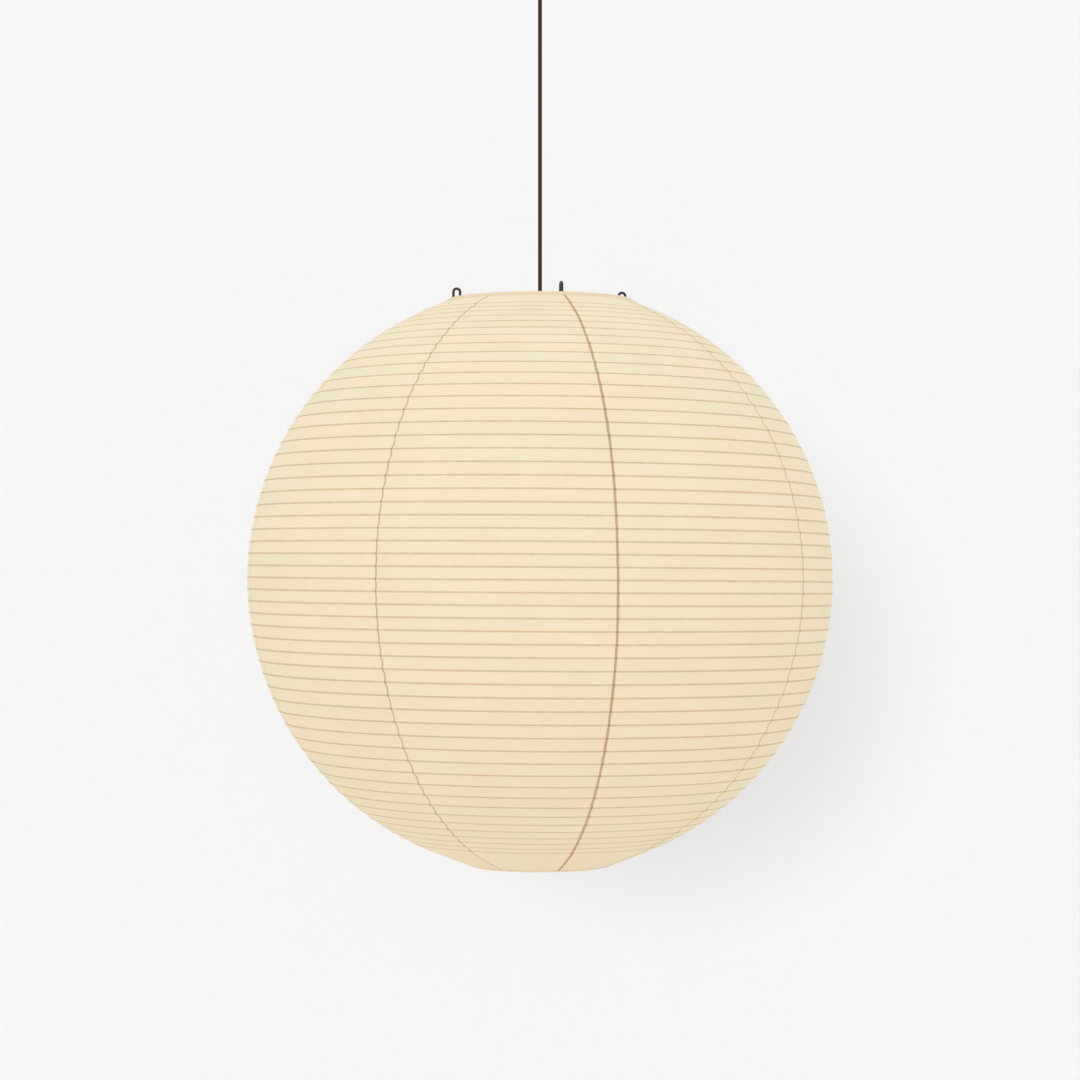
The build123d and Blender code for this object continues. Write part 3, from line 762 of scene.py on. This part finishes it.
def make_hem(name, node, material, outer, inner, seed):
    """A band of paper round a mouth: outer are places along the shade's section, from the band's
    cut edge to the mouth, and inner are (radius, height) points from there, over the hoop."""
    radii, heights = on_section(np.array(outer), HEM_SKIN)
    profile = list(zip(radii, heights)) + inner
    share = np.linspace(0, 1, HEM_COLUMNS, endpoint=False)
    angles = 2 * math.pi * share
    ripple = HEM_RIPPLE * np.sin(math.pi * share) * wander(seed, 70, share)
    ragged = HEM_RAGGED * np.sin(math.pi * share) * wander(seed + 1, 200, share)
    rings, sheet_uv = [], []
    for row, (radius, height) in enumerate(profile):
        r = radius + ripple
        z = centre_z + height + (ragged if row == 0 else 0.0)
        ring = np.broadcast_arrays(r * np.cos(angles), r * np.sin(angles), z)
        rings.append(np.stack(ring, axis=-1))
        sheet_uv.append(np.stack(np.broadcast_arrays(angles * radius, row * 2 * MM), axis=-1))
    faces = grid_faces(len(profile), HEM_COLUMNS, wrap=True)
    if heights[-1] < 0:
        faces = faces[:, ::-1]
    uv_maps = [("sheet", np.vstack(sheet_uv))]
    hem = build_mesh(name, np.vstack(rings), faces, [material], None, uv_maps)
    thicken(hem, SHEET)
    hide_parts(node)
    return hem


def top_hem():
    hoop_outer = top_hoop_high.x
    hoop_inner = hoop_outer - (top_hoop_high.z - top_hoop_low.z)
    hoop_low = top_hoop_low.z - centre_z
    band = [UPPER_END - reach * MM for reach in (8.6, 6.5, 4.2, 2.6, 1.8, 1.4, 1.0, 0.6, 0.2)]
    over = [
        (TOP_MOUTH_R - 0.15 * MM, TOP_EDGE + 0.22 * MM),
        (TOP_MOUTH_R - 0.8 * MM, TOP_EDGE + 0.28 * MM),
        (hoop_outer - 1.0 * MM, TOP_EDGE + 0.10 * MM),
        (hoop_inner + 0.1 * MM, TOP_EDGE - 0.45 * MM),
        (hoop_inner - 0.12 * MM, TOP_EDGE - 1.4 * MM),
        (hoop_inner - 0.10 * MM, hoop_low + 0.7 * MM),
    ]
    hem = make_hem("folded_top_hem", "top_hem", top_hem_paper, band, over, 71)
    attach(hem, "shade_body")


def lower_hem():
    hoop_outer = low_hoop_high.x
    hoop_top = low_hoop_high.z - centre_z
    tuck_r = BOTTOM_MOUTH_R - LOWER_TUCK
    band = [LOWER_END + reach * MM for reach in (6.0, 4.0, 2.4, 1.2, 0.6, 0.2)]
    under = [
        (BOTTOM_MOUTH_R - 0.1 * MM, BOTTOM_EDGE - 0.2 * MM),
        (BOTTOM_MOUTH_R - 0.5 * MM, BOTTOM_EDGE - 0.24 * MM),
        (tuck_r, BOTTOM_EDGE + 0.1 * MM),
        (tuck_r, BOTTOM_EDGE + 2.0 * MM),
        (tuck_r, hoop_top - 1.6 * MM),
        (hoop_outer + 0.1 * MM, hoop_top - 0.5 * MM),
        (hoop_outer - 0.5 * MM, hoop_top + 0.1 * MM),
        (hoop_outer - 1.5 * MM, hoop_top + 0.3 * MM),
    ]
    hem = make_hem("folded_lower_hem", "bottom_hem", low_hem_paper, band, under, 81)
    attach(hem, "lower_mouth_body")


top_hem()
lower_hem()


# ---------------------------------------------------------------- stage and light
WALL_Y = 1.0
WALL_TOP = 2.2
FLOOR_Z = -2.6
FLOOR_FRONT = -6.0
STAGE_HALF_WIDTH = 5.0
SWEEP = 0.8  # radius of the curve from the floor to the wall
SWEEP_STEPS = 12
WORLD_STRENGTH = 0.885
KEY_ENERGY = 0.42
KEY_SIZE = 12  # degrees
KEY_HEIGHT = 7.2  # degrees above the level
KEY_LEFT = 10.6  # degrees to the left of the view
stage_profile = [(FLOOR_FRONT, FLOOR_Z)]
for i in range(SWEEP_STEPS + 1):
    a = math.radians(90 * i / SWEEP_STEPS)
    y = WALL_Y - SWEEP + SWEEP * math.sin(a)
    stage_profile.append((y, FLOOR_Z + SWEEP - SWEEP * math.cos(a)))
stage_profile.append((WALL_Y, WALL_TOP))
stage_edges = (-STAGE_HALF_WIDTH, STAGE_HALF_WIDTH)
stage_points = [(x, y, z) for y, z in stage_profile for x in stage_edges]
stage_faces = [(2 * i, 2 * i + 1, 2 * i + 3, 2 * i + 2) for i in range(len(stage_profile) - 1)]
stage = build_mesh("stage", stage_points, stage_faces, [painted_stage("pale_stage")])
stage.rotation_euler = (0, 0, turn)

world = bpy.data.worlds.new("studio")
bpy.context.scene.world = world
world.use_nodes = True
background = world.node_tree.nodes["Background"]
background.inputs["Color"].default_value = rgb(1.0, 1.0, 1.0)
background.inputs["Strength"].default_value = WORLD_STRENGTH
bpy.context.scene.view_settings.view_transform = "Standard"

key_data = bpy.data.lights.new("key", "SUN")
key_data.energy = KEY_ENERGY
key_data.angle = math.radians(KEY_SIZE)
key = bpy.data.objects.new("key", key_data)
key.rotation_euler = (math.radians(90 - KEY_HEIGHT), 0, turn - math.radians(KEY_LEFT))
bpy.context.scene.collection.objects.link(key)
